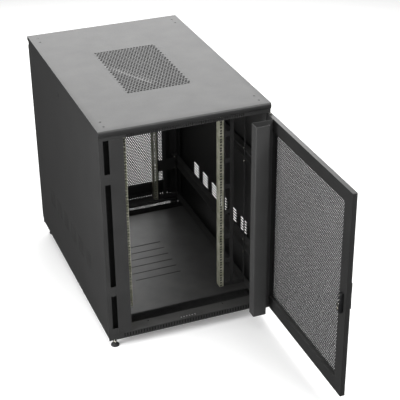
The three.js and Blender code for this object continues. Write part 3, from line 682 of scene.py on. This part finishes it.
# the lifting grip, bored for the key cylinder
def handleGrip():
    low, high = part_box("handle_lever")
    midX, midY = centre(low, high)[:2]
    build = bmesh.new()
    stacked(build, [(roundedOutline(w * mm, t * mm, 0.75 * t * mm), z * mm) for z, w, t in gripStations],
            lambda a, b, along: (midX + b, midY + a, low.z + along))
    grip = newPiece("handle_grip", build)
    keyLow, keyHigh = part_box("key_cylinder")
    keyZ, wide = (keyLow.z + keyHigh.z) / 2, (keyHigh.z - keyLow.z) / 2 + handle["clearance"]
    shapeWith(grip, turnedPiece("boreTool", [(wide, 0), (wide, 30 * mm)],
                                (low.x - 10 * mm, midY, keyZ), (1, 0, 0)))
    softenEdges(grip, handle["gripEdge"], angle=handle["gripCrease"])
    fitPiece(grip, polyamide, "handle_lever", "black_plastic", "handle_lever")


key = {"rimEdge": 0.5 * mm, "rim": 1.3 * mm, "dishWall": 1.8 * mm, "dish": 0.6 * mm, "wayDepth": 4 * mm}
# the keyway in mm about the plug's middle: two corners and an edge radius for each of its two cuts
keyway = [((-0.8, -3.8), (0.8, 3.8), 0.3), ((-1.7, -0.5), (0.1, 0.9), 0.2)]


# key cylinder: a nickel face with a rim, a shallow dish and a keyway
def keyPlug():
    low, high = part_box("key_cylinder")
    leverLow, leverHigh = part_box("handle_lever")
    midY, midZ, radius = (leverLow.y + leverHigh.y) / 2, (low.z + high.z) / 2, (high.z - low.z) / 2
    length = high.x - low.x
    floor = length - key["dish"]
    profile = [(0, 0), (radius, 0), (radius, length - key["rimEdge"]), (radius - key["rimEdge"], length),
               (radius - key["rim"], length), (radius - key["dishWall"], floor), (0, floor)]
    keyPiece = turnedPiece("key_plug", profile, (low.x, midY, midZ), (1, 0, 0))
    slotTool = bmesh.new()
    for (a0, b0), (a1, b1), edge in keyway:
        roundedBlock(slotTool, (high.x - key["wayDepth"], midY + a0 * mm, midZ + b0 * mm),
                     (high.x + 2 * mm, midY + a1 * mm, midZ + b1 * mm), edge * mm, 1)
    shapeWith(keyPiece, newPiece("keywayTool", slotTool))
    fitPiece(softenEdges(keyPiece, 0), brightNickel, "key_cylinder", "bright_steel", "key_cylinder")


spindle = {"radius": 5 * mm, "chamfer": 0.6 * mm, "nut": 8 * mm, "nutTall": 1.6 * mm, "nutGap": 0.5 * mm,
           "camFit": 0.1 * mm, "caseFit": 0.2 * mm}
# the spindle's axis, on which the hub turns with the cam and passes the lock case
hubY, hubZ = centre(*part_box("handle_hub"))[1:]


# hub: a round head forked for the grip, on a spindle with a nut behind the cam
def handleHub():
    low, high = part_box("handle_hub")
    leverLow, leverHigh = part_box("handle_lever")
    radius, edge, clearance = (high.z - low.z) / 2, handle["headEdge"], handle["clearance"]
    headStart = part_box("handle_base")[1].x + clearance
    headLength = high.x - headStart
    profile = [(0, 0), (radius, 0), (radius, headLength - edge), (radius - edge, headLength),
               (0, headLength)]
    head = turnedPiece("handle_hub_head", profile, (headStart, hubY, hubZ), (1, 0, 0), 40)
    fork = bmesh.new()
    halfFork = (leverHigh.y - leverLow.y) / 2 + clearance
    roundedBlock(fork, (leverLow.x - clearance, hubY - halfFork, hubZ - 2 * radius),
                 (high.x + radius, hubY + halfFork, hubZ + 2 * radius), 0.2 * mm, 1)
    shapeWith(head, newPiece("forkTool", fork))
    fitPiece(softenEdges(head, handle["forkEdge"]), polyamide, "handle_hub", "black_plastic",
             "handle_hub")
    build = bmesh.new()
    radius, chamfer, length = spindle["radius"], spindle["chamfer"], headStart - low.x
    turned(build, [(0, 0), (radius - chamfer, 0), (radius, chamfer), (radius, length), (0, length)],
           (low.x, hubY, hubZ), (1, 0, 0), 28)
    nut, tall = spindle["nut"], spindle["nutTall"]
    turned(build, [(0, 0), (nut, 0), (nut, tall), (0, tall)], (low.x + spindle["nutGap"], hubY, hubZ),
           (1, 0, 0), 6)
    fitPiece(smoothPiece("handle_spindle", build), brightNickel, "handle_hub", "bright_steel")


# a cutter for the hole that the spindle turns in
def spindleHole(name, start, length, play):
    radius = spindle["radius"] + play
    return turnedPiece(name, [(radius, 0), (radius, length)], (start, hubY, hubZ), (1, 0, 0), 28)


def latchCam():
    low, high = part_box("latch_cam")
    halfY, midZ = (high.y - low.y) / 2, (low.z + high.z) / 2
    outline = roundedOutline(halfY, (high.z - low.z) / 2, halfY * 0.95, 8)
    build = bmesh.new()
    stacked(build, [(outline, 0), (outline, high.x - low.x)],
            lambda a, b, along: (low.x + along, hubY + a, midZ + b))
    hole = spindleHole("camTool", low.x - 4 * mm, 12 * mm, spindle["camFit"])
    cam = shapeWith(newPiece("latch_cam_plate", build), hole)
    fitPiece(softenEdges(cam, 0.4 * mm), brightNickel, "handle_hub", "bright_steel", "latch_cam")


lockCase = {"step": 3 * mm, "stepOverlap": 6 * mm, "stepStart": 4 * mm, "stepEnd": 42 * mm,
            "edge": 2 * mm, "stepEdge": 1.5 * mm, "lowScrew": 62 * mm, "highScrew": 10 * mm}


# the lock housing: a block with a raised step over the cam's travel
def lockHousing():
    low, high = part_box("lock_case")
    step = lockCase["step"]
    build = bmesh.new()
    roundedBlock(build, (low.x + step, low.y, low.z), (high.x, high.y, high.z), lockCase["edge"])
    roundedBlock(build, (low.x, low.y + step, low.z + lockCase["stepStart"]),
                 (low.x + lockCase["stepOverlap"], high.y - step, high.z - lockCase["stepEnd"]),
                 lockCase["stepEdge"])
    passage = spindleHole("caseTool", low.x - 8 * mm, 40 * mm, spindle["caseFit"])
    case = shapeWith(newPiece("lock_housing", build), passage)
    fitPiece(softenEdges(case, 0), polyamide, "front_door", "black_plastic", "lock_case")
    heights = low.z + lockCase["lowScrew"], high.z - lockCase["highScrew"]
    places = [(low.x + step, hubY, z) for z in heights]
    screwSet("lock_case_screws", places, (-1, 0, 0), "front_door", 0.9)


handlePlate()
handleGrip()
keyPlug()
handleHub()
latchCam()
lockHousing()
print("handle and lock ready")


# one quarter-turn lock: a flush head with a square drive, its spindle and its cam
quarterTurn = {"recess": 5 * mm, "recessDepth": 1.5 * mm, "recessEdge": 0.4 * mm, "lip": 0.5 * mm,
               "rim": 1 * mm, "rimEdge": 0.7 * mm, "drive": 3.2 * mm, "driveStart": 0.3 * mm,
               "driveSunk": 0.2 * mm, "spindle": 4 * mm, "camEdge": 0.8 * mm}


def quarterTurnLock(node, base, inward, headRadius, headDepth, camLow, camHigh, reach):
    q = quarterTurn
    build = bmesh.new()
    turned(build, [(0, q["recessDepth"]), (q["recess"], q["recessDepth"]), (q["recess"], q["recessEdge"]),
                   (q["recess"] + q["lip"], 0), (headRadius - q["rim"], 0), (headRadius, q["rimEdge"]),
                   (headRadius, headDepth), (0, headDepth)], base, inward, 40)
    turned(build, [(0, 0), (q["spindle"], 0), (q["spindle"], reach), (0, reach)],
           Vector(base) + Vector(inward) * q["recessDepth"], inward, 20)
    fitPiece(smoothPiece(node + "_head", build), polyamide, node, "black_plastic", node)
    build = bmesh.new()
    start, end = q["driveStart"], q["recessDepth"] + q["driveSunk"]
    turned(build, [(0, start), (q["drive"], start), (q["drive"], end), (0, end)], base, inward, 4)
    roundedBlock(build, camLow, camHigh, q["camEdge"], 2)
    fitPiece(smoothPiece(node + "_cam", build), brightNickel, node, "bright_steel")


# side panels: the folded tray of the CAD, with a pressed hood behind every slot
louvre = {"rows": 6, "groups": 6, "pitch": 128 * mm, "step": 15.5 * mm, "first": 248 * mm,
          "length": 78 * mm, "lap": 0.8 * mm, "depth": 4.5 * mm, "rise": 6.5 * mm, "sheet": 0.9 * mm,
          "innerGap": 0.02 * mm, "outerGap": 0.12 * mm, "across": 12, "up": 4}
panelLock = {"headDepth": 5.6 * mm, "cam": 3 * mm, "camHalf": 8 * mm, "spindleShort": 2.5 * mm}
panelSheet = 1.5 * mm


def louvreHood(build, skinX, inward, y, z):
    across, up, half = louvre["across"], louvre["up"], louvre["length"] / 2 + louvre["lap"]
    loops = []
    for offset, gap in ((0.0, louvre["outerGap"]), (louvre["sheet"], louvre["innerGap"])):
        grid = []
        for j in range(up + 1):
            bulge = louvre["depth"] * math.sin(j / up * math.pi / 2)
            height = z - louvre["lap"] + j / up * louvre["rise"]
            grid.append([build.verts.new((skinX + inward * max(bulge * (1 - u ** 4) - offset, gap),
                                          y + u * half, height))
                         for u in [2 * i / across - 1 for i in range(across + 1)]])
        for lower, upper in zip(grid, grid[1:]):
            for i in range(across):
                build.faces.new([lower[i], lower[i + 1], upper[i + 1], upper[i]])
        loops.append(grid[0] + [row[-1] for row in grid[1:]] + grid[-1][-2::-1]
                     + [row[0] for row in grid[-2:0:-1]])
    joinRings(build, *loops)


def sidePanels():
    for hand, inward in zip(hands, (1, -1)):
        node = hand + "_side_panel"
        low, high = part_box(node)
        fitPiece(softCopy(node, panelEdge), panelCoat, node, "panel_coat", node)
        skinX = (low.x if hand == "left" else high.x) + inward * panelSheet
        middle = (low.y + high.y) / 2
        build = bmesh.new()
        for group in range(louvre["groups"]):
            y = middle + (group - (louvre["groups"] - 1) / 2) * louvre["pitch"]
            for row in range(louvre["rows"]):
                louvreHood(build, skinX, inward, y, louvre["first"] + row * louvre["step"])
        fitPiece(smoothPiece(hand + "_louvre_hoods", build, 50), panelCoat, node, "panel_coat")
        lockNode = hand + "_panel_lock"
        lockLow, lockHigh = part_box(lockNode)
        outside, inside = (lockLow.x, lockHigh.x)[::inward]
        headRadius = (lockHigh.z - lockLow.z) / 2
        z, y = (lockLow.z + lockHigh.z) / 2, lockLow.y + headRadius
        camX, half = sorted((inside, inside - inward * panelLock["cam"])), panelLock["camHalf"]
        quarterTurnLock(lockNode, (outside, y, z), (inward, 0, 0), headRadius, panelLock["headDepth"],
                        (camX[0], y - half, z - half), (camX[1], lockHigh.y, z + half),
                        abs(inside - outside) - panelLock["spindleShort"])


rearLock = {"headDepth": 4 * mm, "camHalf": 7 * mm, "camNear": 1 * mm, "camFar": 4 * mm,
            "camRise": 6 * mm, "reach": 25 * mm}


def rearDoorLock(headDepth, camHalf, camNear, camFar, camRise, reach):
    low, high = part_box("rear_door_lock")
    x, radius = (low.x + high.x) / 2, (high.x - low.x) / 2
    quarterTurnLock("rear_door_lock", (x, high.y, low.z + radius), (0, -1, 0), radius, headDepth,
                    (x - camHalf, low.y + camNear, low.z + camRise),
                    (x + camHalf, low.y + camFar, high.z), reach)


sidePanels()
rearDoorLock(**rearLock)
print("side panels and locks ready")


# levelling feet: a moulded pad on a threaded steel stud with a nut
foot = {"padTall": 16.4 * mm, "stud": 6 * mm, "studStart": 17 * mm, "studTip": 4.8 * mm,
        "thread": 1.75 * mm, "threadDepth": 0.9 * mm, "nutBore": 5.4 * mm, "nutRadius": 10.5 * mm,
        "nutHeight": 8 * mm, "nutEdge": 0.8 * mm}
# the pad's outline in mm: inset from its rim and height, then the collar's radius and height
padRim = [(2, 0), (0.6, 0.6), (0, 2), (0, 5), (0.8, 6.6), (3, 7.8), (7, 10)]
padCollar = [(11.6, 14), (11, 16), (10, 16.4), (0, 16.4)]


def levellingFoot(node):
    low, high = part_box(node)
    x, y = centre(low, high)[:2]
    radius, top = (high.x - low.x) / 2, high.z - low.z
    profile = [(0, 0)] + [(radius - inset * mm, height * mm) for inset, height in padRim]
    profile += [(wide * mm, height * mm) for wide, height in padCollar]
    build = bmesh.new()
    turned(build, profile, (x, y, low.z), (0, 0, 1), 48)
    fitPiece(smoothPiece(node + "_pad", build, 40), rubber, node, "foot_rubber", node)
    bore, nut, tall, edge = foot["nutBore"], foot["nutRadius"], foot["nutHeight"], foot["nutEdge"]
    profile = [(bore, 0), (nut - edge, 0), (nut, edge), (nut, tall - edge), (nut - edge, tall),
               (bore, tall)]
    build = bmesh.new()
    turned(build, profile, (x, y, low.z + foot["padTall"]), (0, 0, 1), 6)
    start, stud, thread = foot["studStart"], foot["stud"], foot["thread"]
    profile = [(0, start)]
    for k in range(int((top - start - 1 * mm) / thread)):
        height = start + k * thread
        profile += [(stud - foot["threadDepth"], height), (stud, height + thread / 2)]
    turned(build, profile + [(foot["studTip"], top), (0, top)], (x, y, low.z), (0, 0, 1), 20)
    fitPiece(smoothPiece(node + "_stud", build), brightNickel, node, "foot_rubber")


for hand in hands:
    for end in ends:
        levellingFoot(f"{end}_{hand}_foot")

# brush strips that close the cable entries before and behind the floor pan
brush = {"tuft": 2.6 * mm, "thick": 2.0 * mm, "holder": 7 * mm, "holderTall": 9 * mm, "droop": 5 * mm,
         "lean": 1.2 * mm, "inset": 4 * mm, "rootHeight": 24 * mm, "tipHeight": 8 * mm,
         "endGap": 1 * mm, "rootGap": 0.5 * mm, "tipGap": 1 * mm, "steps": 4}


def brushStrip(name, rootY, tipY):
    rootZ, tipZ, steps = brush["rootHeight"], brush["tipHeight"], brush["steps"]
    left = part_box("base_left_sill")[1].x + brush["inset"]
    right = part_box("base_right_sill")[0].x - brush["inset"]
    toward = 1 if tipY > rootY else -1
    build = bmesh.new()
    holder = sorted((rootY, rootY + toward * brush["holder"]))
    roundedBlock(build, (left, holder[0], rootZ - brush["holderTall"] / 2),
                 (right, holder[1], rootZ + brush["holderTall"] / 2), 1 * mm)
    fitPiece(smoothPiece(name + "_holder", build), frameCoat, "cabinet", "frame_coat")
    build = bmesh.new()
    startY = rootY + toward * brush["holder"] * 0.6
    for i in range(int((right - left - 2 * brush["endGap"]) / brush["tuft"])):
        x = left + brush["endGap"] + (i + 0.5) * brush["tuft"]
        lean, sag = random.uniform(-1, 1) * brush["lean"], random.uniform(0.6, 1.2) * brush["droop"]
        rings = []
        for k in range(steps + 1):
            t = k / steps
            wide = brush["tuft"] * 0.46 * (1 - 0.3 * t)
            tall = brush["thick"] * (1 - 0.4 * t)
            y = startY + (tipY - startY) * t
            z = rootZ + (tipZ - rootZ) * t - sag * math.sin(math.pi * t) * 0.5
            middle = Vector((x + lean * t * t, y, z))
            rings.append([build.verts.new(middle + Vector((a * wide, 0, b * tall)))
                          for a, b in ((-1, 0), (0, -0.5), (1, 0), (0, 0.5))])
        closeRings(build, rings)
    fitPiece(smoothPiece(name + "_bristles", build, 60), bristleNylon, "cabinet", "black_plastic")


entrySheetGap, ventNear, ventFar = 0.5 * mm, 3 * mm, 9 * mm
# black foam under each brush, a sheet of painted shade in the open gap below it, and foam inside the vents
# of the base rails: from where to where it runs front to rear, then in mm its inset at the sides, its
# bottom, its top and its edge
foamSealsAndShadeSheets = {"front_entry_shade_foam": (frontRail[1].y + entrySheetGap, pan[0].y - entrySheetGap, 0.3, 0.1, 1.4, 0.3),
             "rear_entry_shade_foam": (pan[1].y + entrySheetGap, rearRail[0].y - entrySheetGap, 0.3, 0.1, 1.4, 0.3),
             "front_vent_foam": (frontRail[0].y + ventNear, frontRail[0].y + ventFar, 30, 2.5, 28.5, 0.5),
             "rear_vent_foam": (rearRail[1].y - ventFar, rearRail[1].y - ventNear, 30, 2.5, 28.5, 0.5)}
for name, (near, far, inset, bottom, top, edge) in foamSealsAndShadeSheets.items():
    foamBlock(name, (pan[0].x + inset * mm, near, bottom * mm),
              (pan[1].x - inset * mm, far, top * mm), edge * mm)
# a sheet of the same black foam lies under the pan: painted shade, so that its slots read dark instead of
# showing the floor
panShadeSheet = {"margin": 4 * mm, "top": 0.2 * mm, "bottom": 2.3 * mm, "edge": 0.5 * mm}
margin = Vector((panShadeSheet["margin"], panShadeSheet["margin"], 0))
foamBlock("pan_shade_sheet", pan[0] + margin - Vector((0, 0, panShadeSheet["bottom"])),
          (pan[1].x - margin.x, pan[1].y - margin.y, pan[0].z - panShadeSheet["top"]), panShadeSheet["edge"])
brushStrip("front_entry_brush", frontRail[1].y + brush["rootGap"], pan[0].y - brush["tipGap"])
brushStrip("rear_entry_brush", rearRail[0].y - brush["rootGap"], pan[1].y + brush["tipGap"])
print("feet and brushes ready")


# studio: pale floor, white surround and soft lights
def softbox(name, place, target, size, radiance):
    light = bpy.data.lights.new(name, "AREA")
    light.shape = "RECTANGLE"
    light.size, light.size_y = size
    light.energy = radiance * math.pi * size[0] * size[1]
    lamp = bpy.data.objects.new(name, light)
    bpy.context.scene.collection.objects.link(lamp)
    lamp.location = place
    lamp.rotation_euler = (Vector(target) - Vector(place)).to_track_quat("-Z", "Y").to_euler()
    return lamp


def studioWorld(surround, ceiling, ground):
    world = bpy.data.worlds.new("studio")
    world.use_nodes = True
    bpy.context.scene.world = world
    tree = world.node_tree
    tree.nodes.clear()
    height = addNode(tree, "SeparateXYZ", {0: addNode(tree, "TexCoord").outputs["Generated"]})
    level = addNode(tree, "MapRange", {"Value": height.outputs["Z"], "From Min": -0.6, "From Max": 1.0,
                                       "To Min": ground, "To Max": ceiling})
    light = addNode(tree, "Background", {"Color": hexColour("#fbfbfa"),
                                         "Strength": level.outputs["Result"]})
    paper = addNode(tree, "Background", {"Color": (1, 1, 1, 1), "Strength": surround})
    seen = addNode(tree, "LightPath").outputs["Is Camera Ray"]
    mixed = addNode(tree, "MixShader", {0: seen, 1: light.outputs[0], 2: paper.outputs[0]})
    addNode(tree, "OutputWorld", {"Surface": mixed.outputs[0]})


def paleFloor():
    build = bmesh.new()
    reach, level = 14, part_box("front_left_foot")[0].z
    build.faces.new([build.verts.new((a * reach, b * reach, level))
                     for a, b in ((-1, -1), (1, -1), (1, 1), (-1, 1))])
    floor = newPiece("floor", build)
    material = bpy.data.materials.new("paintedStudioFloor")
    material.use_nodes = True
    tree = material.node_tree
    # the floor glows a little, so no shadow on it goes grey
    feed(tree, tree.nodes["Principled BSDF"], {"Base Color": hexColour("#f4f4f4"), "Roughness": 0.9,
         "Emission Color": (1, 1, 1, 1), "Emission Strength": 0.2})
    floor.data.materials.append(material)
    floor.visible_glossy = False


studio = {"surround": 1.0, "ceiling": 0.6, "ground": 0.08}
# each light's place, what it points at, its width and height, and its radiance
softboxes = {"rearSoftbox": ((1.1, 2.85, 2.8), (0, 0, 1.0), (3.6, 3.6), 2.9),
             "overheadSoftbox": ((0, -0.6, 4.2), (0, -0.2, 0), (5.0, 5.0), 1.0),
             "rightKey": ((1.3, -3.0, 3.0), (-0.1, 0, 0.1), (1.3, 1.3), 12.0),
             "leftSoftbox": ((-1.7, -1.0, 0.9), (0.2, -0.7, 0.6), (0.7, 1.2), 14.0),
             "insideFill": ((-0.16, -0.1, 0.98), (0.3, 0.15, 0.55), (0.3, 0.3), 5.0),
             "backCard": ((0, 0.592, 0.53), (0, 0, 0.53), (0.6, 0.86), 1.9)}
studioWorld(**studio)
paleFloor()
lamps = {name: softbox(name, *settings) for name, settings in softboxes.items()}
lamps["insideFill"].visible_camera = False
# the pan alone mirrors the back card, which hangs just inside the rear door
mirroring = bpy.data.collections.new("mirroring")
mirroring.objects.link(bpy.data.objects["bottom_panel_formed"])
lamps["backCard"].light_linking.receiver_collection = mirroring
lamps["backCard"].visible_camera = False
lamps["backCard"].visible_diffuse = False

# the camera's place in metres and its turns in degrees
shot = {"place": (-1.5669, -4.7925, 3.1603), "heading": -21.194, "below": 29.094, "roll": -0.584,
        "lens": 102.84, "sensor": 36}
camera = bpy.data.cameras.new("camera")
camera.lens, camera.sensor_width = shot["lens"], shot["sensor"]
view = bpy.data.objects.new("camera", camera)
bpy.context.scene.collection.objects.link(view)
heading, tilt, roll = [math.radians(turn) for turn in (shot["heading"], 90 - shot["below"], shot["roll"])]
turnView = Matrix.Rotation(heading, 4, "Z") @ Matrix.Rotation(tilt, 4, "X")
turnView = turnView @ Matrix.Rotation(roll, 4, "Z")
view.matrix_world = Matrix.Translation(shot["place"]) @ turnView
bpy.context.scene.camera = view
bpy.context.scene.view_settings.view_transform = "Standard"
print("studio ready")
